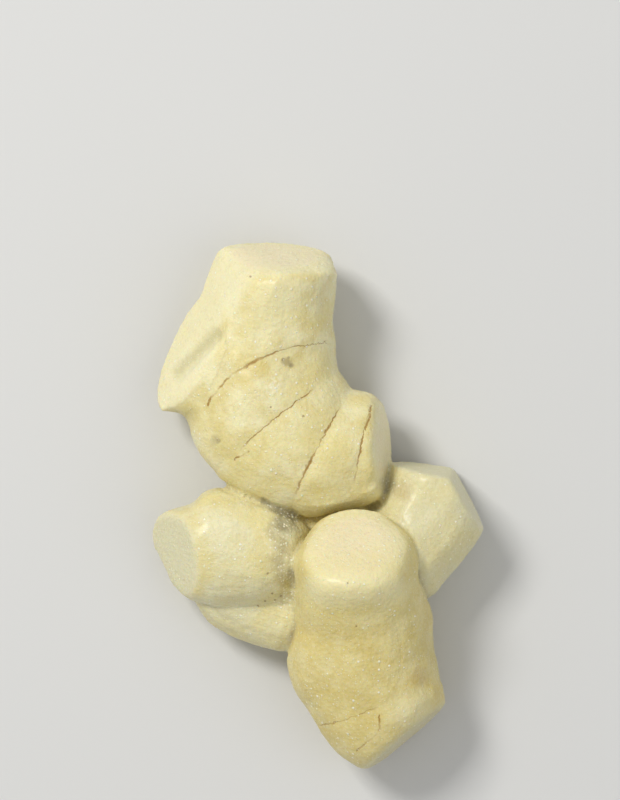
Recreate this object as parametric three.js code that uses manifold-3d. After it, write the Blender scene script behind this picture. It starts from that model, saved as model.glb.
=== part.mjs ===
// Peeled galangal rhizome, lying on a flat surface at z = 0. Millimetres, +Z up.
// It grew as one piece: a thick elbow, the stem it forked from, two side buds and an old toe.
// Every limb is a turned profile bent along its own curve, with a flat knife cut at each end.

import * as THREE from 'three';
import * as BufferGeometryUtils from 'three/addons/utils/BufferGeometryUtils.js';
import Module from 'manifold-3d';

const wasm = await Module();
wasm.setup();

const UP = new THREE.Vector3(0, 0, 1);

// Stations along a limb's middle line: x, y, z, half its width, half its height, and where its
// cross-section isn't square to the line, how far its right side and its top are carried onward.
const ELBOW = [
  [-13.8, 68.9, 23.2, 17.6, 15.8, 0.1],
  [-15.4, 56.6, 19.2, 18.4, 16.4, 0.2],
  [-15.9, 45.6, 17.8, 18.8, 16.8, 0.28],
  [-17.0, 34.6, 17.3, 21.6, 17.2, 0.37, -0.3],
  [-13.4, 23.8, 17.3, 22.8, 17.3, 0.05, 0.04],
  [-2.2, 14.4, 17.3, 19.2, 16.6, -0.17],
  [10.8, 13.6, 18.3, 15.0, 14.1, -0.42],
  [17.4, 15.4, 19.1, 12.6, 12.4, -0.24, -0.12],
];
const STEM = [
  [24.0, -66.4, 15.4, 14.6, 13.5, 0, 0.2],
  [18.9, -60.3, 15.9, 17.5, 15.6, -0.14],
  [14.4, -53.2, 16.3, 18.8, 16.4, -0.24],
  [11.4, -44.8, 17.0, 20.6, 17.2, -0.1],
  [11.2, -32.6, 19.4, 19.2, 17.6],
  [10.0, -22.0, 26.6, 16.8, 16.4],
  [9.2, -12.0, 37.4, 15.3, 15.3],
];
const LEFT_BUD = [
  [-1.5, -25.0, 12.4, 10.6, 9.6],
  [-8.8, -19.6, 14.4, 12.6, 11.4],
  [-17.4, -14.8, 17.0, 15.6, 15.0],
  [-27.0, -13.1, 16.0, 17.0, 15.4],
  [-36.0, -12.8, 15.3, 14.4, 14.6],
  [-42.6, -11.4, 14.8, 9.8, 12.8],
  [-49.0, -10.4, 14.5, 5.4, 8.6],
];
const LEFT_TOE = [
  [1.9, -34.0, 13.4, 11.6, 11.4],
  [-13.5, -30.4, 10.8, 10.8, 10.9],
  [-24.6, -26.2, 10.4, 10.6, 10.6],
  [-33.0, -18.8, 10.6, 7.2, 9.4],
  [-41.0, -14.0, 10.8, 5.2, 7.2],
];
const RIGHT_BUD = [
  [15.4, -27.0, 16.0, 11.6, 12.6],
  [25.2, -12.0, 14.6, 14.4, 14.4],
  [33.2, 2.2, 13.9, 15.8, 13.9],
  [35.2, 17.4, 14.6, 12.4, 11.6],
];
const SIDE_STUMP = [
  [-10.6, 42.6, 17.2, 17.6, 15.1],
  [-23.2, 42.2, 17.8, 18.8, 14.6],
  [-34.8, 41.6, 19.2, 17.6, 12.8],
  [-54.1, 39.4, 20.0, 14.5, 11.4],
];
// The waist under the crease, where the elbow grows out of the stem.
const WAIST = [
  [-7.7, 13.5, 11.8, 12.6, 10.8],
  [3.0, -3.9, 9.8, 14.0, 9.2],
  [9.0, -25.1, 12.4, 12.6, 10.8],
];

// Leaf scars, as places from 0 to 1 along the stations; the flesh swells a little between them.
const ELBOW_SCARS = [0.42, 0.577, 0.735, 0.886];
const STEM_SCARS = [0.27];
const ELBOW_SWELL = 0.8;
const STEM_SWELL = 0.4;
const SCAR_WAVE = 0.6;

// The lumps in the flesh, as shares of a limb's girth; the slow ones go round twice, the others
// three times. SKIN_SHARE and over is skin, the rest of a profile is cut face.
const SLOW_LUMP = 0.02;
const QUICK_LUMP = 0.012;
const SKIN_SHARE = 0.97;

// A cut face: the round of its edge, as share and depth, and the shallow groove round the stele.
const CUT_ROUNDING = 1.8;
const CUT_EDGE = [[0.9, 0], [0.96, 0.3]];
const STELE_SHARE = 0.78;
const GROOVE_HALF = 0.06;
const STELE_STEP = 0.35;

// Knife cuts: a point on the cut face and the way it faces.
const FLANK_CUT = { point: [-37.0, 41.4, 20.4], facing: [-0.83, 0.33, 0.45] };
const LEFT_CUT = { point: [-42.2, -12.0, 16.5], facing: [-0.88, -0.16, 0.45] };
const RIGHT_TOP_CUT = { point: [29.0, 9.2, 16.4], facing: [0.16, 0.98, 0.12] };
const RIGHT_END_CUT = { point: [41.2, 0.0, 16.4], facing: [0.86, 0.49, 0.12] };
const CUT_REACH = 80;

// A long shallow dent in the flank's cut face.
const DENT = { centre: [-35.3, 41.2, 24.8], half: [8.0, 1.9, 1.6], along: [0.7, 0.69, 0.79] };

// A dead bud's scar on the elbow, a low round button.
const BUTTON = { centre: [-9.6, 39.2, 33.6], half: [1.7, 1.5, 1.2], along: [1, 0, 0] };

// Half the size of the block that flattens the low spots which the rhizome lies on.
const SURFACE_HALF = 150;

const FLESH_COLOUR = 0xe2d9a6;
const FLESH_ROUGHNESS = 0.5;

function solidFrom(geometry) {
  geometry.deleteAttribute('normal');
  geometry.deleteAttribute('uv');
  const closed = BufferGeometryUtils.mergeVertices(geometry, 1e-4);
  const corners = closed.index.array;
  const kept = [];
  for (let i = 0; i < corners.length; i += 3) {
    const [a, b, c] = [corners[i], corners[i + 1], corners[i + 2]];
    if (a !== b && b !== c && c !== a) {
      kept.push(a, b, c);
    }
  }
  return new wasm.Manifold(new wasm.Mesh({
    numProp: 3,
    vertProperties: closed.attributes.position.array,
    triVerts: new Uint32Array(kept),
  }));
}

// The profile of a limb: a knife cut with a stele at each end, and swellings between the scars.
// x is the share of the limb's own half width, y the place along it from 0 to 1.
function limbProfile(length, scars, rowsBetween) {
  const rim = CUT_ROUNDING / length;
  const step = STELE_STEP / length;
  const points = [
    new THREE.Vector2(0, 0),
    new THREE.Vector2(STELE_SHARE - GROOVE_HALF, 0),
    new THREE.Vector2(STELE_SHARE, step),
    new THREE.Vector2(STELE_SHARE + GROOVE_HALF, 0),
  ];
  for (const [share, depth] of CUT_EDGE) {
    points.push(new THREE.Vector2(share, depth * rim));
  }
  const ends = [rim, ...scars, 1 - rim];
  for (let k = 0; k + 1 < ends.length; k += 1) {
    const rows = Math.max(2, Math.round((ends[k + 1] - ends[k]) * rowsBetween));
    for (let i = 0; i < rows; i += 1) {
      points.push(new THREE.Vector2(1, ends[k] + ((ends[k + 1] - ends[k]) * i) / rows));
    }
  }
  points.push(new THREE.Vector2(1, 1 - rim));
  for (const [share, depth] of CUT_EDGE.slice().reverse()) {
    points.push(new THREE.Vector2(share, 1 - depth * rim));
  }
  points.push(
    new THREE.Vector2(STELE_SHARE + GROOVE_HALF, 1),
    new THREE.Vector2(STELE_SHARE, 1 - step),
    new THREE.Vector2(STELE_SHARE - GROOVE_HALF, 1),
    new THREE.Vector2(0, 1),
  );
  return points;
}

// How far the flesh stands out at a place, as a share: 0 at a scar, 1 halfway between two.
function swelling(place, scars) {
  const ends = [-0.1, ...scars, 1.1];
  for (let k = 0; k + 1 < ends.length; k += 1) {
    if (place <= ends[k + 1]) {
      const share = (place - ends[k]) / (ends[k + 1] - ends[k]);
      return Math.sqrt(Math.max(0, Math.sin(Math.PI * share)));
    }
  }
  return 0;
}

// A turned profile bent along the stations, its sides level and its top up, with slow lumps.
function limb(stations, { sides, rows, scars = [], swell = 0, seed = 0 }) {
  const middle = new THREE.CatmullRomCurve3(stations.map(([x, y, z]) => new THREE.Vector3(x, y, z)));
  const girth = new THREE.CatmullRomCurve3(
    stations.map(([, , , width, height]) => new THREE.Vector3(width, height, 0)),
  );
  const carry = new THREE.CatmullRomCurve3(
    stations.map(([, , , , , sideOnward = 0, topOnward = 0], station) => (
      new THREE.Vector3(sideOnward, topOnward, station)
    )),
  );
  const length = middle.getLength();
  const geometry = new THREE.LatheGeometry(limbProfile(length, scars, rows), sides);
  const spots = geometry.attributes.position;
  for (let i = 0; i < spots.count; i += 1) {
    const [across, place, upward] = [spots.getX(i), spots.getY(i), spots.getZ(i)];
    const share = Math.hypot(across, upward);
    const angle = Math.atan2(upward, across);
    const inside = place * (1 - place) * 4;
    const wave = (SCAR_WAVE / length) * Math.sin(2 * angle + 9 * place + seed) * inside * share;
    const t = THREE.MathUtils.clamp(place + wave, 0, 1);
    const along = middle.getTangent(t);
    const side = new THREE.Vector3().crossVectors(along, UP).normalize();
    const top = new THREE.Vector3().crossVectors(side, along);
    const { x: width, y: height } = girth.getPoint(t);
    const { x: sideOnward, y: topOnward } = carry.getPoint(t);
    const lump = 1
      + SLOW_LUMP * Math.sin(2 * angle + 5 * place + seed)
      + QUICK_LUMP * Math.sin(3 * angle - 7 * place + 2 * seed);
    const stand = share > SKIN_SHARE ? swell * swelling(place, scars) : 0;
    const offset = new THREE.Vector3()
      .addScaledVector(side, across * (width * lump + stand))
      .addScaledVector(top, upward * (height * lump + stand))
      .addScaledVector(along, across * width * sideOnward + upward * height * topOnward);
    const at = middle.getPoint(t).add(offset);
    spots.setXYZ(i, at.x, at.y, at.z);
  }
  return solidFrom(geometry);
}

// Everything in front of a cut face, as a block to take away.
function inFrontOf({ point, facing }) {
  const way = new THREE.Vector3(...facing).normalize();
  const block = new THREE.BoxGeometry(CUT_REACH, CUT_REACH, CUT_REACH);
  const turn = new THREE.Quaternion().setFromUnitVectors(new THREE.Vector3(0, 0, 1), way);
  const centre = new THREE.Vector3(...point).addScaledVector(way, CUT_REACH / 2);
  block.applyMatrix4(new THREE.Matrix4().compose(centre, turn, new THREE.Vector3(1, 1, 1)));
  return solidFrom(block);
}

function pebble({ centre, half, along }, sides, rows) {
  const ball = new THREE.SphereGeometry(1, sides, rows);
  const way = new THREE.Vector3(...along).normalize();
  ball.scale(...half);
  ball.applyQuaternion(new THREE.Quaternion().setFromUnitVectors(new THREE.Vector3(1, 0, 0), way));
  ball.translate(...centre);
  return solidFrom(ball);
}

const stump = limb(SIDE_STUMP, { sides: 30, rows: 12, seed: 1 });
const elbow = limb(ELBOW, { sides: 40, rows: 38, scars: ELBOW_SCARS, swell: ELBOW_SWELL, seed: 2 })
  .add(stump)
  .subtract(inFrontOf(FLANK_CUT))
  .subtract(pebble(DENT, 16, 10))
  .add(pebble(BUTTON, 14, 8));
const stem = limb(STEM, { sides: 40, rows: 24, scars: STEM_SCARS, swell: STEM_SWELL, seed: 3.4 });
const leftBud = limb(LEFT_BUD, { sides: 34, rows: 13, seed: 5 })
  .add(limb(LEFT_TOE, { sides: 26, rows: 12, seed: 0.7 }))
  .subtract(inFrontOf(LEFT_CUT));
const rightBud = limb(RIGHT_BUD, { sides: 34, rows: 12, seed: 4.2 })
  .subtract(inFrontOf(RIGHT_TOP_CUT))
  .subtract(inFrontOf(RIGHT_END_CUT));
const waist = limb(WAIST, { sides: 24, rows: 8, seed: 2.5 });

const below = new THREE.BoxGeometry(2 * SURFACE_HALF, 2 * SURFACE_HALF, SURFACE_HALF);
below.translate(0, 0, -SURFACE_HALF / 2);

const rhizome = elbow
  .add(stem)
  .add(leftBud)
  .add(rightBud)
  .add(waist)
  .subtract(solidFrom(below));

const cut = rhizome.getMesh();
const rhizomeGeometry = new THREE.BufferGeometry();
rhizomeGeometry.setAttribute('position', new THREE.BufferAttribute(cut.vertProperties, 3));
rhizomeGeometry.setIndex(new THREE.BufferAttribute(cut.triVerts, 1));
rhizomeGeometry.computeVertexNormals();

const flesh = new THREE.MeshStandardMaterial({
  color: FLESH_COLOUR,
  roughness: FLESH_ROUGHNESS,
  metalness: 0,
});
const rhizomeMesh = new THREE.Mesh(rhizomeGeometry, flesh);
rhizomeMesh.name = 'galangal_rhizome';

// The origin is on the surface, under the middle of the rhizome's box.
const middleOfBox = new THREE.Box3().setFromObject(rhizomeMesh).getCenter(new THREE.Vector3());
rhizomeMesh.position.set(-middleOfBox.x, -middleOfBox.y, 0);

const galangal = new THREE.Group();
galangal.add(rhizomeMesh);

export default galangal;
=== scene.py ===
import math

import bmesh
import bpy
import numpy as np
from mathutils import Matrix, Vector, noise
from mathutils.bvhtree import BVHTree


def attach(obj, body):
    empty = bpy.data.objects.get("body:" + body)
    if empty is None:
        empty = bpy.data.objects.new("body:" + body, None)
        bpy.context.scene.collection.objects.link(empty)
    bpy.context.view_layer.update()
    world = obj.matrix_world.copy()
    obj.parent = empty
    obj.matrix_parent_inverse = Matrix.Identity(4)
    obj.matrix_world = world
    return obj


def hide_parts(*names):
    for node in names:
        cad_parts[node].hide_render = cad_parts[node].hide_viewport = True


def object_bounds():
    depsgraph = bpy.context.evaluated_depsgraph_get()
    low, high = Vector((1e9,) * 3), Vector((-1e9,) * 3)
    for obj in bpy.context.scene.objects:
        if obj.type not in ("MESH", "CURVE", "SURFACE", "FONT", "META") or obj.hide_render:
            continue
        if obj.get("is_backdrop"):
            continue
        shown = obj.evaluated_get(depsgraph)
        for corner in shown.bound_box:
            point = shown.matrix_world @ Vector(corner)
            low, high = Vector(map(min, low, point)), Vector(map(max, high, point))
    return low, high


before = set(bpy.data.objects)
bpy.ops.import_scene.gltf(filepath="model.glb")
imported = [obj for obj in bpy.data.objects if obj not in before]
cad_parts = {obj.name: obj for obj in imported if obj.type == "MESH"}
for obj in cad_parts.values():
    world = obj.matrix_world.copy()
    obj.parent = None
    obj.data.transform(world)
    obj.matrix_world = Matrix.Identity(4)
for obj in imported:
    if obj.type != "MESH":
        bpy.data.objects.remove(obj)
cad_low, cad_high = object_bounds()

# The limbs: a thick elbow, the stem it forked from, two side buds, an old toe and a side stump.
# Living flesh that grew as one piece, cut across with a knife and peeled.
# Each is turned as a straight profile, bent along its own stations and then cut.
MM = 0.001
RECENTRE = np.array([0.985, 0.985, 0.0])
# stations in millimetres: x, y, z, half width, half height, right side onward, top onward
ELBOW = [
    [-13.8, 68.9, 23.2, 17.6, 15.8, 0.1],
    [-15.4, 56.6, 19.2, 18.4, 16.4, 0.2],
    [-15.9, 45.6, 17.8, 18.8, 16.8, 0.28],
    [-17.0, 34.6, 17.3, 21.6, 17.2, 0.37, -0.3],
    [-13.4, 23.8, 17.3, 22.8, 17.3, 0.05, 0.04],
    [-2.2, 14.4, 17.3, 19.2, 16.6, -0.17],
    [10.8, 13.6, 18.3, 15.0, 14.1, -0.42],
    [17.4, 15.4, 19.1, 12.6, 12.4, -0.24, -0.12],
]
STEM = [
    [24.0, -66.4, 15.4, 14.6, 13.5, 0, 0.2],
    [18.9, -60.3, 15.9, 17.5, 15.6, -0.14],
    [14.4, -53.2, 16.3, 18.8, 16.4, -0.24],
    [11.4, -44.8, 17.0, 20.6, 17.2, -0.1],
    [11.2, -32.6, 19.4, 19.2, 17.6],
    [10.0, -22.0, 26.6, 16.8, 16.4],
    [9.2, -12.0, 37.4, 15.3, 15.3],
]
LEFT_BUD = [
    [-1.5, -25.0, 12.4, 10.6, 9.6],
    [-8.8, -19.6, 14.4, 12.6, 11.4],
    [-17.4, -14.8, 17.0, 15.6, 15.0],
    [-27.0, -13.1, 16.0, 17.0, 15.4],
    [-36.0, -12.8, 15.3, 14.4, 14.6],
    [-42.6, -11.4, 14.8, 9.8, 12.8],
    [-49.0, -10.4, 14.5, 5.4, 8.6],
]
LEFT_TOE = [
    [1.9, -34.0, 13.4, 11.6, 11.4],
    [-13.5, -30.4, 10.8, 10.8, 10.9],
    [-24.6, -26.2, 10.4, 10.6, 10.6],
    [-33.0, -18.8, 10.6, 7.2, 9.4],
    [-41.0, -14.0, 10.8, 5.2, 7.2],
]
RIGHT_BUD = [
    [15.4, -27.0, 16.0, 11.6, 12.6],
    [25.2, -12.0, 14.6, 14.4, 14.4],
    [33.2, 2.2, 13.9, 15.8, 13.9],
    [35.2, 17.4, 14.6, 12.4, 11.6],
]
SIDE_STUMP = [
    [-10.6, 42.6, 17.2, 17.6, 15.1],
    [-23.2, 42.2, 17.8, 18.8, 14.6],
    [-34.8, 41.6, 19.2, 17.6, 12.8],
    [-54.1, 39.4, 20.0, 14.5, 11.4],
]
WAIST = [
    [-7.7, 13.5, 11.8, 12.6, 10.8],
    [3.0, -3.9, 9.8, 14.0, 9.2],
    [9.0, -25.1, 12.4, 12.6, 10.8],
]
ELBOW_SCARS = [0.42, 0.577, 0.735, 0.886]
STEM_SCARS = [0.27]
ELBOW_SWELL = 0.8
STEM_SWELL = 0.4
SCAR_WAVE = 0.6
SLOW_LUMP = 0.02
QUICK_LUMP = 0.012
SKIN_SHARE = 0.97
CUT_ROUNDING = 1.8
STELE_SHARE = 0.78
GROOVE_HALF = 0.06
STELE_STEP = 0.35
FLANK_CUT = ([-37.0, 41.4, 20.4], [-0.83, 0.33, 0.45])
LEFT_CUT = ([-42.2, -12.0, 16.5], [-0.88, -0.16, 0.45])
RIGHT_TOP_CUT = ([29.0, 9.2, 16.4], [0.16, 0.98, 0.12])
RIGHT_END_CUT = ([41.2, 0.0, 16.4], [0.86, 0.49, 0.12])


def along_curve(points, t):
    """Centripetal Catmull-Rom curve through the points, at places t from 0 to 1."""
    points = np.asarray(points, float)
    ends = len(points) - 1
    padded = np.vstack([2 * points[0] - points[1], points, 2 * points[-1] - points[-2]])
    at = np.clip(t, 0, 1) * ends
    left = np.minimum(np.floor(at).astype(int), ends - 1)
    w = (at - left)[:, None]
    p0, p1, p2, p3 = (padded[left + k] for k in range(4))
    gaps = []
    for a, b in ((p0, p1), (p1, p2), (p2, p3)):
        gaps.append((((a - b) ** 2).sum(1) ** 0.25)[:, None])
    middle_gap = np.where(gaps[1] < 1e-4, 1.0, gaps[1])
    before = np.where(gaps[0] < 1e-4, middle_gap, gaps[0])
    after = np.where(gaps[2] < 1e-4, middle_gap, gaps[2])
    leave = (p1 - p0) / before - (p2 - p0) / (before + middle_gap) + (p2 - p1) / middle_gap
    arrive = (p2 - p1) / middle_gap - (p3 - p1) / (middle_gap + after) + (p3 - p2) / after
    leave, arrive = leave * middle_gap, arrive * middle_gap
    bend = 3 * (p2 - p1) - 2 * leave - arrive
    twist = 2 * (p1 - p2) + leave + arrive
    return p1 + leave * w + bend * w ** 2 + twist * w ** 3


def unit(rows):
    """Each row as a direction of length 1."""
    return rows / np.linalg.norm(rows, axis=1, keepdims=True)


def curve_length(points):
    steps = along_curve(points, np.linspace(0, 1, 201))
    return np.linalg.norm(np.diff(steps, axis=0), axis=1).sum()


def swelling(place, scars):
    """0 at a scar, 1 halfway between two."""
    ends = np.array([-0.1, *scars, 1.1])
    k = np.clip(np.searchsorted(ends, place) - 1, 0, len(ends) - 2)
    share = (place - ends[k]) / (ends[k + 1] - ends[k])
    return np.sqrt(np.maximum(0, np.sin(np.pi * share)))


def limb_profile(length, scars, row_step):
    """Points of share and place along a limb: a cut with a stele's groove at each end, skin between."""
    rim = CUT_ROUNDING / length
    step = STELE_STEP / length
    half = [(0, 0), (0.2, 0), (0.4, 0), (0.58, 0), (STELE_SHARE - GROOVE_HALF, 0), (STELE_SHARE, step),
            (STELE_SHARE + GROOVE_HALF, 0), (0.9, 0), (0.96, 0.3 * rim)]
    ends = [rim, *scars, 1 - rim]
    skin = []
    for start, end in zip(ends, ends[1:]):
        rows = max(2, round((end - start) * length / row_step))
        skin += [(1, start + (end - start) * i / rows) for i in range(rows)]
    skin.append((1, 1 - rim))
    return half + skin + [(share, 1 - depth) for share, depth in reversed(half)]


def grow_limb(stations, seed, scars=(), swell=0.0, cuts=(), sides=120, row_step=1.0):
    """A closed bmesh of triangles; each point keeps where it was on the straight profile."""
    table = np.array([(row + [0.0, 0.0])[:7] for row in stations])
    middle = table[:, :3]
    girth = np.column_stack([table[:, 3:5], np.zeros(len(table))])
    carry = np.column_stack([table[:, 5:7], np.arange(len(table))])
    length = curve_length(middle)

    limb = bmesh.new()
    straight = limb.verts.layers.float_vector.new("straight")
    profile = limb_profile(length, scars, row_step)
    corners = [limb.verts.new((share, place, 0)) for share, place in profile]
    for a, b in zip(corners, corners[1:]):
        limb.edges.new((a, b))
    bmesh.ops.spin(limb, geom=limb.verts[:] + limb.edges[:], cent=(0, 0, 0), axis=(0, 1, 0),
                   dvec=(0, 0, 0), angle=2 * math.pi, steps=sides, use_merge=True, use_duplicate=False)
    bmesh.ops.remove_doubles(limb, verts=limb.verts[:], dist=1e-5)

    spots = np.array([v.co for v in limb.verts])
    across, place, upward = spots.T
    share = np.hypot(across, upward)
    angle = np.arctan2(upward, across)
    wave = SCAR_WAVE / length * np.sin(2 * angle + 9 * place + seed) * 4 * place * (1 - place) * share
    t = np.clip(place + wave, 0, 1)
    nudge = 1e-4
    onward = unit(along_curve(middle, t + nudge) - along_curve(middle, t - nudge))
    side = unit(np.cross(onward, [0, 0, 1]))
    top = np.cross(side, onward)
    width, height, _ = along_curve(girth, t).T
    side_onward, top_onward, _ = along_curve(carry, t).T
    slow_lump = SLOW_LUMP * np.sin(2 * angle + 5 * place + seed)
    lump = 1 + slow_lump + QUICK_LUMP * np.sin(3 * angle - 7 * place + 2 * seed)
    stand = np.where(share > SKIN_SHARE, swell * swelling(place, scars), 0)
    bent = (along_curve(middle, t)
            + side * (across * (width * lump + stand))[:, None]
            + top * (upward * (height * lump + stand))[:, None]
            + onward * (across * width * side_onward + upward * height * top_onward)[:, None])
    for vert, was, now in zip(limb.verts, spots, bent):
        vert[straight] = was
        vert.co = now

    for point, facing in cuts:
        bmesh.ops.bisect_plane(limb, geom=limb.verts[:] + limb.edges[:] + limb.faces[:], dist=1e-6,
                               plane_co=point, plane_no=facing, clear_outer=True, clear_inner=False)
        rim_edges = [edge for edge in limb.edges if edge.is_boundary]
        for face in bmesh.ops.holes_fill(limb, edges=rim_edges, sides=0)["faces"]:
            face.material_index = 1
    bmesh.ops.triangulate(limb, faces=limb.faces[:])
    bmesh.ops.recalc_face_normals(limb, faces=limb.faces[:])
    return limb, length


limbs = {
    "elbow": grow_limb(ELBOW, 2, ELBOW_SCARS, ELBOW_SWELL, [FLANK_CUT]),
    "stump": grow_limb(SIDE_STUMP, 1, cuts=[FLANK_CUT]),
    "stem": grow_limb(STEM, 3.4, STEM_SCARS, STEM_SWELL),
    "left_bud": grow_limb(LEFT_BUD, 5, cuts=[LEFT_CUT]),
    "toe": grow_limb(LEFT_TOE, 0.7, cuts=[LEFT_CUT]),
    "right_bud": grow_limb(RIGHT_BUD, 4.2, cuts=[RIGHT_TOP_CUT, RIGHT_END_CUT]),
    "waist": grow_limb(WAIST, 2.5),
}

# The rhizome: all the limbs grown together into one body of flesh, with soft creases where they join.
# The limbs are merged by a fine remesh and the knife's sharp edges are eased.
VOXEL = 0.62
EASING_PASSES = 16
JOIN_REACH = 5.0
FAR = 99
# two limbs, how often their join is eased, and the millimetres by which its crease is held off
JOINS = (("elbow", "stump", 90, FAR), ("left_bud", "toe", 30, 1.2))
FLANK_REACH = 6.0
FLANK_PASSES = 90
TOP_REACH = 5.0
TOP_PASSES = 110
RIM_HEIGHT = 17.0
SHOULDER_REACH = (8.5, 22.0)
SHOULDER_HEIGHT = 28.0
SHOULDER_PASSES = 180

gathered = bpy.data.meshes.new("gathered_limbs")
merged = bmesh.new()
for limb, _ in limbs.values():
    limb.to_mesh(gathered)
    merged.from_mesh(gathered)
merged.to_mesh(gathered)
merged.free()
carrier = bpy.data.objects.new("gathered_limbs", gathered)
bpy.context.scene.collection.objects.link(carrier)
remesh = carrier.modifiers.new("grown_together", "REMESH")
remesh.mode = "VOXEL"
remesh.voxel_size = VOXEL
evaluated = carrier.evaluated_get(bpy.context.evaluated_depsgraph_get())
body_mesh = bpy.data.meshes.new_from_object(evaluated)
bpy.data.objects.remove(carrier)

body = bmesh.new()
body.from_mesh(body_mesh)


def ease(verts, passes):
    """Smooths these points of the body, each towards its neighbours."""
    for _ in range(passes):
        bmesh.ops.smooth_vert(body, verts=verts, factor=0.5,
                              use_axis_x=True, use_axis_y=True, use_axis_z=True)


ease(body.verts[:], EASING_PASSES)

# some limbs grew out of each other without a sharp crease, so their joins are eased much further
flank_point, flank_facing = (Vector(way) for way in FLANK_CUT)
flank_facing.normalize()
for *pair, passes, _ in JOINS:
    skins = [BVHTree.FromBMesh(limbs[name][0]) for name in pair]
    join = []
    for vert in body.verts:
        behind = (flank_point - vert.co).dot(flank_facing)
        if behind > JOIN_REACH and max(skin.find_nearest(vert.co)[3] for skin in skins) < JOIN_REACH:
            join.append(vert)
    ease(join, passes)

# the upper rims of the cuts on the flank, the elbow's top and the stem's top are broad and soft
high = [vert for vert in body.verts if vert.co.z > RIM_HEIGHT]
flank = [vert for vert in high if abs((vert.co - flank_point).dot(flank_facing)) < FLANK_REACH]
ease(flank, FLANK_PASSES)
upper_flank = {vert for vert in flank if vert.co.y > ELBOW[2][1]}
top_edge = [vert for vert in high if vert in upper_flank or vert.co.y > ELBOW[0][1] - TOP_REACH]
ease(top_edge, TOP_PASSES)
stem_top = Vector(STEM[-1][:3])
shoulder = []
for vert in high:
    away = (vert.co - stem_top).length
    if SHOULDER_REACH[0] < away < SHOULDER_REACH[1] and vert.co.z > SHOULDER_HEIGHT:
        shoulder.append(vert)
ease(shoulder, SHOULDER_PASSES)
body.to_mesh(body_mesh)
body.free()

spots = np.array([v.co for v in body_mesh.vertices])
links = np.array([e.vertices for e in body_mesh.edges])
neighbours = np.bincount(links.ravel(), minlength=len(spots)).astype(float)


def spread(values, passes):
    """Evens a value out over the skin, point by point with its neighbours."""
    for _ in range(passes):
        total = np.zeros_like(values)
        np.add.at(total, links[:, 0], values[links[:, 1]])
        np.add.at(total, links[:, 1], values[links[:, 0]])
        mean = total / (neighbours if values.ndim == 1 else neighbours[:, None])
        values = (values + mean) / 2
    return values


def read_limb(limb, length):
    """How far the limb's skin is from each point of the body, its straight place and its stretch."""
    limb.verts.ensure_lookup_table()
    limb.faces.ensure_lookup_table()
    tree = BVHTree.FromBMesh(limb)
    straight = limb.verts.layers.float_vector["straight"]
    was = np.array([v[straight] for v in limb.verts])
    now = np.array([v.co for v in limb.verts])
    corners = np.array([[v.index for v in f.verts] for f in limb.faces])
    is_cut = np.array([f.material_index for f in limb.faces])
    found = [tree.find_nearest(Vector(spot)) for spot in spots]
    foot = np.array([hit[0] for hit in found])
    face = np.array([hit[2] for hit in found])
    gap = np.array([hit[3] for hit in found])
    a, b, c = (now[corners[face, k]] for k in range(3))
    normal = np.cross(b - a, c - a)
    area = np.maximum((normal ** 2).sum(1), 1e-12)
    wa = (np.cross(b - foot, c - foot) * normal).sum(1) / area
    wb = (np.cross(c - foot, a - foot) * normal).sum(1) / area
    wa, wb = np.clip(wa, 0, 1), np.clip(wb, 0, 1)
    weights = np.stack([wa, wb, np.clip(1 - wa - wb, 0, 1)])
    place = sum(w[:, None] * was[corners[face, k]] for k, w in enumerate(weights))
    tall, wide = now[corners], was[corners][:, :, 1]
    up = np.cross(tall[:, 1] - tall[:, 0], tall[:, 2] - tall[:, 0])
    size = np.maximum((up ** 2).sum(1), 1e-12)[:, None]
    slope = sum(
        wide[:, [k]] * np.cross(up, tall[:, (k + 2) % 3] - tall[:, (k + 1) % 3]) for k in range(3)
    ) / size
    stretch = 1 / np.maximum(np.linalg.norm(slope, axis=1), 0.2 / length)
    return {"gap": gap, "straight": place, "cut": is_cut[face].astype(float), "stretch": stretch[face],
            "length": np.full(len(spots), length)}


END_FACE_SHARE = 0.985
END_FACE_BLUR = 0.03
CREASE_HALF = 2.4
SCAR_RANGE = 6

reads = {name: read_limb(*limb) for name, limb in limbs.items()}
names = list(reads)
gaps = np.stack([reads[name]["gap"] for name in names])
owner = np.argmin(gaps, axis=0)
rows = np.arange(len(spots))
others = gaps.copy()
others[owner, rows] = FAR
for *pair, _, held_off in JOINS:
    a, b = (names.index(name) for name in pair)
    others[b, owner == a] += held_off
    others[a, owner == b] += held_off
second_gap = others.min(axis=0)


def own(key):
    """What the nearest limb says, for each point of the body."""
    return np.stack([reads[name][key] for name in names])[owner, rows]


straight = own("straight")
radius = np.hypot(straight[:, 0], straight[:, 2])
end_face = np.clip((END_FACE_SHARE - radius) / END_FACE_BLUR, 0, 1) * (own("cut") < 0.5)
radius = np.where(own("cut") > 0.5, 1, radius)
cut_face = np.maximum(own("cut"), end_face)
is_owner = {name: (owner == k).astype(float) for k, name in enumerate(names)}
crease = spread(np.clip(1 - second_gap / CREASE_HALF, 0, 1) * (1 - cut_face), 2)


def scar_distance(name, scars):
    """Signed millimetres over the skin from each scar."""
    read = reads[name]
    reach = spread(read["stretch"], 8)
    places = read["straight"][:, 1]
    return [np.clip((places - scar) * reach, -SCAR_RANGE, SCAR_RANGE) for scar in scars]


elbow_scars = scar_distance("elbow", ELBOW_SCARS)
stem_scars = scar_distance("stem", STEM_SCARS)
elbow_skin = is_owner["elbow"] * (1 - cut_face)
stem_skin = is_owner["stem"] * (1 - cut_face)

# The surface of the flesh: slow lumps, the long flats left by peeling, notched leaf scars, the dent in
# the flank's cut face and a dead bud's scar. All of it is pressed in or stands out along the normals.
LUMP_DEPTH, LUMP_SIZE = 0.5, 11.0
PEEL_DEPTH, PEEL_SIZE, PEEL_SQUEEZE = 0.28, 6.0, 0.22
PORE_DEPTH, PORE_SIZE = 0.06, 1.6
JAG_SIZE = 3.0
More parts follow.
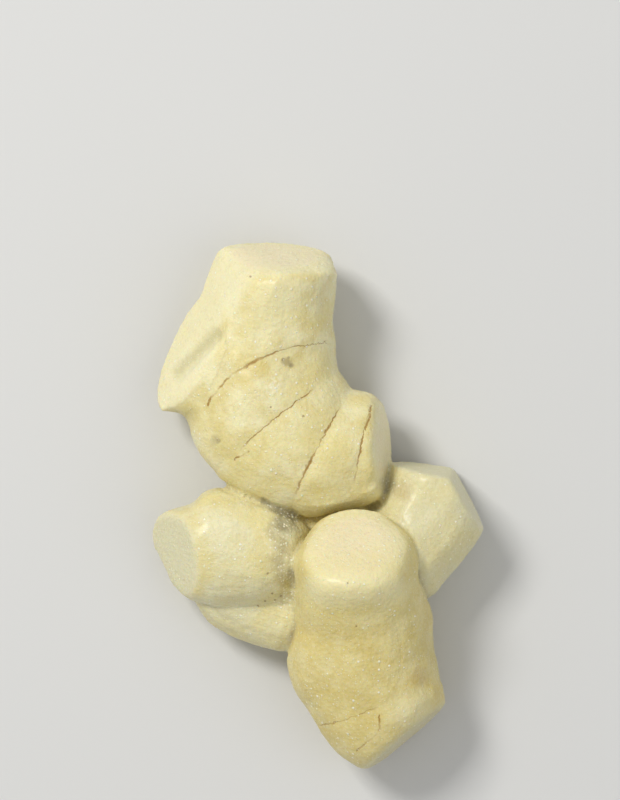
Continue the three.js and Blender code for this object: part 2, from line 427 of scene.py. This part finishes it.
# how far a limb's grain reaches from its middle line, and how far the limbs' grains are kept apart
GRAIN_REACH = 16
GRAIN_APART = np.array([31.0, 17.0, 23.0])
NOTCH_DEPTH = 0.08
NOTCH_SHARES = (1.0, 0.6, 0.9, 0.9, 0.6)
CREASE_DEPTH = 1.3
CREASE_ABOVE = 3
DENT_LINE = (np.array([-29.6, 46.6]), np.array([-40.2, 35.9]))
DENT_DEPTH, DENT_HALF, DENT_ABOVE = 1.9, 1.7, 12
BUTTON_SPOT = np.array([-9.6, 39.2])
BUTTON_HEIGHT, BUTTON_HALF, BUTTON_ABOVE = 0.35, 1.3, 20
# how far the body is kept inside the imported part's box
INSET = 0.00005


def noise_at(points, size, octaves=2):
    """Noise whose lumps are about that size."""
    return np.array([noise.fractal(Vector(p), 0.8, 2.0, octaves) for p in points / size])


normals = np.array([v.normal for v in body_mesh.vertices])
across, place, upward = straight.T
grain = np.column_stack([across * GRAIN_REACH, upward * GRAIN_REACH, place * own("length")])
offset = owner[:, None] * GRAIN_APART
slow = noise_at(spots, LUMP_SIZE)
peel = noise_at((grain + offset) * np.array([1.0, 1.0, PEEL_SQUEEZE]), PEEL_SIZE)
pores = noise_at(spots, PORE_SIZE, 3)
jag = noise_at(spots + 40.0, JAG_SIZE)
skin = 1 - spread(cut_face, 2)

relief = LUMP_DEPTH * slow * (0.35 + 0.65 * skin) + PEEL_DEPTH * peel * skin + PORE_DEPTH * pores
holders = [elbow_skin] * len(elbow_scars) + [stem_skin] * len(stem_scars)
for scar, strength, holder in zip(elbow_scars + stem_scars, NOTCH_SHARES, holders):
    line = scar + 0.5 * jag
    notch = np.exp(-(line / 0.7) ** 2) + 0.5 * np.exp(-((line - 1.2) / 1.6) ** 2)
    relief -= NOTCH_DEPTH * strength * notch * holder

flat = spots[:, :2]
dent_way = DENT_LINE[1] - DENT_LINE[0]
dent_share = np.clip(((flat - DENT_LINE[0]) @ dent_way) / (dent_way @ dent_way), 0, 1)
dent_gap = np.linalg.norm(flat - (DENT_LINE[0] + dent_share[:, None] * dent_way), axis=1)
relief -= DENT_DEPTH * np.exp(-(dent_gap / DENT_HALF) ** 2) * (spots[:, 2] > DENT_ABOVE)
button_gap = np.linalg.norm(flat - BUTTON_SPOT, axis=1)
button = np.exp(-((button_gap + jag) / BUTTON_HALF) ** 2)
relief += BUTTON_HEIGHT * button * (spots[:, 2] > BUTTON_ABOVE)
relief -= CREASE_DEPTH * crease * (spots[:, 2] > CREASE_ABOVE)

shaped = spots + normals * relief[:, None]
shaped[:, 2] = np.maximum(shaped[:, 2], 0)
shaped = (shaped + RECENTRE) * MM
shaped[:, :2] = np.clip(shaped[:, :2], np.array(cad_low)[:2] + INSET, np.array(cad_high)[:2] - INSET)
shaped[:, 2] = np.minimum(shaped[:, 2], cad_high[2] - INSET)

rhizome_mesh = body_mesh
rhizome_mesh.name = "rhizome"
rhizome_mesh.vertices.foreach_set("co", shaped.ravel())
rhizome_mesh.update()


def keep(name, *values):
    """Writes up to three values for each point, which the material reads by this name."""
    columns = [*values, *[np.zeros(len(spots))] * (3 - len(values))]
    layer = rhizome_mesh.attributes.new(name, "FLOAT_VECTOR", "POINT")
    layer.data.foreach_set("vector", np.column_stack(columns).astype(np.float32).ravel())


def flesh_of(*limb_names):
    """1 on these limbs, eased over their borders."""
    return spread(sum(is_owner[name] for name in limb_names), 6)


keep("grain", *(grain + offset).T)
keep("upper_scars", *elbow_scars[:3])
keep("lower_scars", elbow_scars[3], *stem_scars)
keep("skin_of", elbow_skin, stem_skin, crease)
keep("limb", flesh_of("stem", "waist"), flesh_of("left_bud", "toe"), flesh_of("right_bud"))
keep("knife", spread(cut_face, 12), radius)
for polygon in rhizome_mesh.polygons:
    polygon.use_smooth = True

rhizome = bpy.data.objects.new("rhizome", rhizome_mesh)
bpy.context.scene.collection.objects.link(rhizome)
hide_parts("galangal_rhizome")
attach(rhizome, "root")

# The flesh: pale, waxy and a little see-through, creamy on the cuts and more ochre down the stem.
# Golden-brown leaf scars, fine fibres, brown specks and fine white frost grains lie over it; the grains
# are partly painted highlight, and some places carry painted light and painted shade.


class Wire:
    """A number or colour on its way through the material."""

    tree = None

    def __init__(self, socket):
        self.socket = socket

    @classmethod
    def node(cls, kind, output=0, settings=None, **inputs):
        made = cls.tree.nodes.new(kind)
        for key, value in (settings or {}).items():
            setattr(made, key, value)
        for key, value in inputs.items():
            numbered = key[0] == "i" and key[1:].isdigit()
            slot = made.inputs[int(key[1:]) if numbered else key]
            if isinstance(value, Wire):
                cls.tree.links.new(value.socket, slot)
            else:
                slot.default_value = value
        return cls(made.outputs[output])

    def math(self, operation, *others, turned=False):
        values = [self, *others]
        if turned:
            values.reverse()
        return Wire.node("ShaderNodeMath", settings={"operation": operation},
                         **{f"i{k}": value for k, value in enumerate(values)})

    def __add__(self, other):
        return self.math("ADD", other)

    def __sub__(self, other):
        return self.math("SUBTRACT", other)

    def __mul__(self, other):
        return self.math("MULTIPLY", other)

    def __truediv__(self, other):
        return self.math("DIVIDE", other)

    __radd__ = __add__
    __rmul__ = __mul__

    def __rsub__(self, other):
        return self.math("SUBTRACT", other, turned=True)

    def __abs__(self):
        return self.math("ABSOLUTE")

    def step(self, low, high):
        """0 below low and 1 above high, eased between; low may be the greater."""
        return Wire.node("ShaderNodeMapRange", settings={"interpolation_type": "SMOOTHSTEP"},
                         Value=self, **{"From Min": low, "From Max": high})

    def parts(self):
        split = Wire.tree.nodes.new("ShaderNodeSeparateXYZ")
        Wire.tree.links.new(self.socket, split.inputs[0])
        return [Wire(out) for out in split.outputs]


def kept(name):
    """The values that the body keeps by this name."""
    return Wire.node("ShaderNodeAttribute", output="Vector", settings={"attribute_name": name})


def mix(factor, low, high):
    """The colour low where the factor is 0 and high where it is 1."""
    return Wire.node("ShaderNodeMix", output=2, settings={"data_type": "RGBA"},
                     i0=factor, i6=low, i7=high)


def mottle(where, size, detail=2.0, roughness=0.5):
    """Noise whose patches are about that many units across, mostly between 0.3 and 0.7."""
    return Wire.node("ShaderNodeTexNoise",
                     Vector=where, Scale=1 / size, Detail=detail, Roughness=roughness)


def srgb(red, green, blue):
    """A colour as it is named on a screen, 0 to 255."""
    return (*[((c / 255 + 0.055) / 1.055) ** 2.4 for c in (red, green, blue)], 1.0)


flesh = bpy.data.materials.new("peeled_galangal_flesh")
flesh.use_nodes = True
Wire.tree = flesh.node_tree
skin_shader = flesh.node_tree.nodes["Principled BSDF"]

spot = Wire.node("ShaderNodeTexCoord", output="Object")
x, y, z = spot.parts()
grain_spot = kept("grain")
upper = kept("upper_scars").parts()
lower = kept("lower_scars").parts()
on_elbow, on_stem, in_crease = kept("skin_of").parts()
stem_flesh, left_flesh, right_flesh = kept("limb").parts()
on_cut, share, _ = kept("knife").parts()

CREAM = srgb(238, 230, 182)
YELLOW = srgb(231, 218, 152)
DEEP = srgb(223, 206, 132)
OCHRE = srgb(214, 195, 118)
OLIVE = srgb(186, 173, 106)
GREENISH = srgb(216, 211, 172)
SHADE_GREY_OLIVE = srgb(176, 168, 124)
CUT_CREAM = srgb(240, 233, 190)
STELE = srgb(238, 224, 184)
GOLD_BROWN = srgb(156, 110, 6)
DARK_BROWN = srgb(120, 84, 40)
GREY_BROWN = srgb(140, 124, 94)
PIT_SHADE_GREY = srgb(126, 118, 94)
FROST_AND_GLINT_WHITE = srgb(252, 249, 226)

# the sizes of the patterns are in metres, as the body is
cloudy = mottle(spot, 0.014, 3.0).step(0.35, 0.65)
blotchy = mottle(spot, 0.0055, 3.0).step(0.38, 0.66)
frosted = mottle(spot, 0.0009, 3.0, 0.65).step(0.36, 0.66)
fibres = Wire.node("ShaderNodeTexNoise",
                   Vector=Wire.node("ShaderNodeMapping", Vector=grain_spot, Scale=(1.0, 1.0, 0.09)),
                   Scale=1.1, Detail=3.0, Roughness=0.6)

colour = mix(cloudy, YELLOW, CREAM)
colour = mix(blotchy * 0.6, colour, DEEP)
colour = mix(stem_flesh * (0.55 + blotchy * 0.35), colour, OCHRE)
colour = mix(right_flesh * (0.5 + 0.3 * cloudy), colour, GREENISH)
colour = mix(left_flesh * (0.1 + 0.4 * cloudy), colour, GREENISH)
colour = mix(fibres.step(0.5, 0.74) * 0.12 * (1 - on_cut), colour, OLIVE)
colour = mix(on_cut * 0.7, colour, CUT_CREAM)
colour = mix(on_cut * (left_flesh + right_flesh) * 0.75, colour, GREENISH)
# the stele, the paler middle of a cut, ends softly about STELE_SHARE of the way out
soft_share = share + (mottle(spot, 0.004, 2.0) - 0.5) * 0.16
in_stele = on_cut * (soft_share - STELE_SHARE).step(0.04, -0.16)
colour = mix(in_stele * (0.45 + 0.4 * cloudy), colour, STELE)
stele_edge = on_cut * abs(soft_share - STELE_SHARE - 0.02).step(0.06, 0.0)
colour = mix(stele_edge * 0.1, colour, OCHRE)
colour = mix(frosted * 0.13, colour, FROST_AND_GLINT_WHITE)
colour = mix(mottle(spot, 0.0012, 2.0).step(0.56, 0.72) * 0.16, colour, OLIVE)

# from here on, places on the flesh are in millimetres, as the stations are
ragged = (mottle(spot, 0.0016, 3.0) - 0.5) * 1.5
wander = (mottle(spot, 0.003, 2.0) - 0.5) * 1.4
patchy = mottle(spot, 0.007, 2.0)
flesh_x = x / MM - float(RECENTRE[0])
flesh_y = y / MM - float(RECENTRE[1])
from_above = z.step(0.008, 0.013)


def leaf_scar(distance, width, holder, place, start, end):
    """A ragged golden-brown line where a leaf sheath was, clear on the top from start to end."""
    line = abs(distance + ragged)
    thick = patchy.step(0.2, 0.75) * width + 0.12
    shown = place.step(start - 1.0, start + 2.5) * place.step(end + 1.0, end - 2.5)
    shown = shown.math("MAXIMUM", (1 - from_above) * patchy.step(0.35, 0.6))
    return (line / thick).step(1.0, 0.25) * (0.45 + 0.55 * patchy.step(0.35, 0.6)) * shown * holder


def stroke(start, end):
    """How far a place is from a short straight line on the top of the flesh."""
    way = (end[0] - start[0], end[1] - start[1])
    size = way[0] ** 2 + way[1] ** 2
    off_x = flesh_x + ragged - start[0]
    off_y = flesh_y + wander - start[1]
    along = ((off_x * way[0] + off_y * way[1]) / size).math("MAXIMUM", 0.0).math("MINIMUM", 1.0)
    gap_x = off_x - along * way[0]
    gap_y = off_y - along * way[1]
    return (gap_x * gap_x + gap_y * gap_y).math("SQRT")


def mark(at_x, at_y, size):
    """A ragged spot on the top of the flesh, 1 at its middle; the larger, the more ragged."""
    sway = min(1.5, 0.35 + size * 0.4)
    gap_x = flesh_x + ragged * sway - at_x
    gap_y = flesh_y + wander * sway - at_y
    away = (gap_x * gap_x + gap_y * gap_y).math("SQRT") / size
    return away.step(1.0, 0.3) * from_above


def greatest(values):
    """The greatest of several values at each place."""
    most = values[0]
    for value in values[1:]:
        most = most.math("MAXIMUM", value)
    return most


scar = greatest([
    leaf_scar(upper[0], 0.8, on_elbow, flesh_x, -25.0, 3.0),
    leaf_scar(upper[1], 0.3, on_elbow, flesh_x, -22.1, -2.2),
    leaf_scar(upper[2], 0.65, on_elbow, flesh_y, 2.0, 26.6),
    leaf_scar(lower[0], 0.65, on_elbow, flesh_y, 5.6, 27.2),
    leaf_scar(lower[1], 0.5, on_stem, flesh_x, -1.4, 15.4),
])
SCAR_TAIL = [(-24.4, 36.0), (-27.7, 32.5), (-31.1, 28.6), (-31.4, 26.9)]
SHORT_SCAR = [(-24.1, 11.8), (-20.2, 14.3)]
RIM_SCAR = [(12.3, 20.4), (13.5, 24.0), (13.9, 26.8)]
STEM_SPLIT = [(16.2, -59.1), (16.4, -63.0), (12.4, -67.2), (10.1, -68.9)]
for bend in (SHORT_SCAR, SCAR_TAIL, RIM_SCAR, STEM_SPLIT):
    for start, end in zip(bend, bend[1:]):
        faint = from_above * blotchy.step(-0.2, 0.7)
        scar = scar.math("MAXIMUM", stroke(start, end).step(0.42, 0.1) * faint)
scar = scar.math("MINIMUM", 1.0)

# paler, deeper and browner places, some of them painted light and painted shade; a spot's third number
# is its size
SCAR_SHADE = [(-30.5, 28.6), (-24.0, 36.5), (-9.0, 41.5)]
TOP_PAINTED_LIGHT = (-12.9, 54.5, 10.0)
STEM_END_PAINTED_LIGHT = (24.9, -58.0, 8.0)
SHOULDER_HIGHLIGHT_LINE = [(0.0, -23.6), (19.0, -23.6)]
RIDGE_HIGHLIGHT = [(-31.6, 40.3), (-44.6, 28.2)]
FLANK_SHADOW = [(-45.5, 23.6), (-37.0, 24.6)]
STEM_SHADE = (25.6, -40.6, 7.0)
STEM_TAN = (27.4, -48.4, 4.0)
RIGHT_BUD_TAN = (22.6, 3.0, 4.0)
BOTTOM_CUT_SHADE_Y = (-50.0, -54.0)

scar_shade = greatest([stroke(*ends).step(6.5, 1.0) for ends in zip(SCAR_SHADE, SCAR_SHADE[1:])])
colour = mix(scar_shade * on_elbow * from_above * (0.25 + 0.3 * blotchy), colour, OCHRE)
# painted light: two places are made paler cream, one on the top of the elbow and one near the stem's
# end
colour = mix(mark(*TOP_PAINTED_LIGHT) * 0.55, colour, CREAM)
colour = mix(mark(*STEM_END_PAINTED_LIGHT) * 0.55, colour, CREAM)
colour = mix(scar * (0.6 + 0.4 * patchy), colour, GOLD_BROWN)
# painted highlight: yellow and cream on the stem just below its top cut, along the lower shoulder
from_shoulder_highlight = stroke(*SHOULDER_HIGHLIGHT_LINE)
colour = mix(from_shoulder_highlight.step(14.0, 5.0) * stem_flesh * from_above * 0.4, colour, YELLOW)
colour = mix(from_shoulder_highlight.step(6.5, 2.0) * stem_flesh * from_above * 0.6, colour, CREAM)
# painted shade: the dent in the flank's cut face is painted darker grey-olive along its groove
dent_shade = stroke(*(end.tolist() for end in DENT_LINE)).step(3.2, 0.0) * from_above
colour = mix(dent_shade * 0.4, colour, SHADE_GREY_OLIVE)
# painted highlight: a pale cream band along the rounded ridge below the flank's cut
colour = mix(stroke(*RIDGE_HIGHLIGHT).step(3.4, 0.3) * from_above * 0.45, colour, CUT_CREAM)
# painted shadow: olive on the flank just below the ridge
colour = mix(stroke(*FLANK_SHADOW).step(4.0, 0.5) * (1 - on_cut) * from_above * 0.35, colour, OLIVE)
colour = mix(mark(*STEM_SHADE) * 0.15, colour, OLIVE)
colour = mix(mark(*STEM_TAN) * 0.22, colour, GOLD_BROWN)
# painted shade: the stem's bottom cut, which faces down and away from the key light, is painted
# grey-olive
colour = mix(on_cut * stem_flesh * flesh_y.step(*BOTTOM_CUT_SHADE_Y) * 0.5, colour, SHADE_GREY_OLIVE)

# the dead bud's scar and a blotch: x, y, size and strength of each spot
BUD_SCAR = [(-9.6, 39.2, 1.9, 0.5), (-8.3, 38.2, 1.1, 0.6),
            (-10.5, 39.9, 0.7, 0.6), (-9.0, 40.4, 0.6, 0.5)]
BLOTCH = [(-29.4, 17.4, 1.9, 0.3), (-28.6, 17.0, 1.0, 0.3)]
for at_x, at_y, size, strength in BUD_SCAR + BLOTCH:
    colour = mix(mark(at_x, at_y, size) * strength, colour, GREY_BROWN)
colour = mix(mark(*RIGHT_BUD_TAN) * 0.22, colour, GOLD_BROWN)
SPECK_SIZE = 0.45
SPECKS = [(-14.0, 26.6), (-5.0, 24.1), (-19.6, 62.7), (-14.8, -19.6), (-12.9, -27.2), (-13.6, -25.4),
          (-17.6, -29.0), (-11.2, -26.2), (-15.6, -27.6), (7.3, -21.8), (9.8, -34.0)]
for at_x, at_y in SPECKS:
    colour = mix(mark(at_x, at_y, SPECK_SIZE) * 0.6, colour, DARK_BROWN)

# painted shade in the creases and in two grey pits, with frost over them and along the gap beside the
# stem
LEFT_PIT = (-9.6, -5.4, 4.6)
RIGHT_PIT = (18.6, 4.6, 4.0)
PIT_TAIL = [(-16.0, 0.4), (-10.4, -3.4)]
RIME_LINE = [(-12.9, -7.8), (-8.7, -27.4)]
FROST_PATCH = (-12.9, 32.8, 3.6)

# painted shade: the creases where the limbs join are painted grey-brown
crease_shade = in_crease.step(0.4, 0.95)
colour = mix(crease_shade * (0.3 + 0.5 * blotchy), colour, GREY_BROWN)
# painted shade: two deep pits, and a short line running from one of them, are painted grey
pit_shade = mark(*LEFT_PIT) + mark(*RIGHT_PIT) * 0.5
pit_shade = pit_shade.math("MAXIMUM", stroke(*PIT_TAIL).step(1.6, 0.3) * from_above)
colour = mix(pit_shade * (0.4 + 0.35 * blotchy), colour, PIT_SHADE_GREY)


def grains(cells_per_metre, rarity, width):
    """Round grains of random places and sizes; the rarity is the share of cells without one."""
    cells = {"Vector": spot, "Scale": cells_per_metre}
    size = Wire.node("ShaderNodeTexVoronoi", output="Color", **cells).parts()[0].step(rarity, 1.0)
    away = Wire.node("ShaderNodeTexVoronoi", output="Distance", **cells)
    return (away / (size * width + 0.001)).step(1.0, 0.4)


glints = grains(700.0, 0.55, 0.34).math("MAXIMUM", grains(1500.0, 0.45, 0.4) * 0.7)
rime = stroke(*RIME_LINE).step(4.5, 1.0) * from_above
rime_grains = grains(1300.0, 0.1, 0.6)
colour = mix(rime * 0.35 * blotchy, colour, GREY_BROWN)
colour = mix((rime * 0.9 + pit_shade).math("MINIMUM", 1.0) * rime_grains * 0.85, colour, FROST_AND_GLINT_WHITE)
# partly painted highlight: fine white frost grains, painted bright as glints over all the flesh
colour = mix(glints * 0.85, colour, FROST_AND_GLINT_WHITE)
colour = mix(mark(*FROST_PATCH) * frosted * 0.5, colour, FROST_AND_GLINT_WHITE)

fine = mottle(spot, 0.0005, 3.0, 0.6)
wax = mottle(spot, 0.0022, 2.0)
grit = mottle(spot, 0.0011, 2.0)
height = fine * 0.5 + grit * 0.8 + wax * 0.9 + fibres * 0.6 * (1 - on_cut) - scar * 0.5 + glints * 0.7
bump = Wire.node("ShaderNodeBump", output="Normal", Strength=0.6, Distance=0.0004, Height=height)

Wire.tree.links.new(colour.socket, skin_shader.inputs["Base Color"])
Wire.tree.links.new(bump.socket, skin_shader.inputs["Normal"])
rough = 0.36 + wax * 0.22 + on_cut * 0.08 - glints * 0.12
Wire.tree.links.new(rough.socket, skin_shader.inputs["Roughness"])
skin_shader.inputs["Subsurface Weight"].default_value = 0.35
skin_shader.inputs["Subsurface Radius"].default_value = (1.0, 0.72, 0.34)
skin_shader.inputs["Subsurface Scale"].default_value = 0.0014
skin_shader.inputs["Coat Weight"].default_value = 0.2
skin_shader.inputs["Coat Roughness"].default_value = 0.2
skin_shader.inputs["IOR"].default_value = 1.42
rhizome_mesh.materials.clear()
rhizome_mesh.materials.append(flesh)

# The surface it lies on: a plain pale sheet, wide enough for every view.
floor_bm = bmesh.new()
bmesh.ops.create_grid(floor_bm, x_segments=1, y_segments=1, size=3.0)
bmesh.ops.translate(floor_bm, verts=floor_bm.verts[:], vec=(0, 0, -0.0002))
floor_mesh = bpy.data.meshes.new("pale_surface")
floor_bm.to_mesh(floor_mesh)
floor_bm.free()
pale = bpy.data.materials.new("pale_surface")
pale.use_nodes = True
pale.node_tree.nodes["Principled BSDF"].inputs["Base Color"].default_value = (0.7, 0.7, 0.69, 1)
pale.node_tree.nodes["Principled BSDF"].inputs["Roughness"].default_value = 0.8
floor_mesh.materials.append(pale)
surface = bpy.data.objects.new("pale_surface", floor_mesh)
bpy.context.scene.collection.objects.link(surface)
surface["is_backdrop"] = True

# Soft studio light: a large key from the upper left, a weak fill from the right, and an even sky.


def soft_light(name, place, size, power, colour):
    """A square lamp that faces the middle of the surface."""
    lamp = bpy.data.lights.new(name, "AREA")
    lamp.size = size
    lamp.energy = power
    lamp.color = colour
    holder = bpy.data.objects.new(name, lamp)
    holder.location = place
    holder.rotation_euler = (-Vector(place)).to_track_quat("-Z", "Y").to_euler()
    bpy.context.scene.collection.objects.link(holder)


soft_light("key", (-0.75, 0.7, 1.25), 0.45, 15.5, (1.0, 0.99, 0.96))
soft_light("fill", (0.9, -0.4, 1.1), 1.2, 2.5, (0.97, 0.99, 1.0))
sky = bpy.data.worlds.new("studio")
sky.use_nodes = True
sky.node_tree.nodes["Background"].inputs["Color"].default_value = (1, 1, 1, 1)
sky.node_tree.nodes["Background"].inputs["Strength"].default_value = 0.46
bpy.context.scene.world = sky
bpy.context.scene.view_settings.view_transform = "Standard"

# The camera looks straight down, as the photograph does.
CAMERA_HEIGHT = 1.5
# the height at which a pixel of the picture is PIXEL wide
SHARP_HEIGHT = 0.020
SENSOR = 36
PIXEL = 0.00028
PICTURE_TALL = 800
# the picture's middle, in pixels right of and above the place where the stations' x and y are 0
MIDDLE_RIGHT, MIDDLE_UP = -11, 102
camera_data = bpy.data.cameras.new("camera")
camera_data.sensor_width = SENSOR
camera_data.lens = SENSOR * (CAMERA_HEIGHT - SHARP_HEIGHT) / (PICTURE_TALL * PIXEL)
camera = bpy.data.objects.new("camera", camera_data)
middle = np.array([MIDDLE_RIGHT, MIDDLE_UP, 0]) * PIXEL + RECENTRE * MM
camera.location = (middle[0], middle[1], CAMERA_HEIGHT)
bpy.context.scene.collection.objects.link(camera)
bpy.context.scene.camera = camera

low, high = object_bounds()
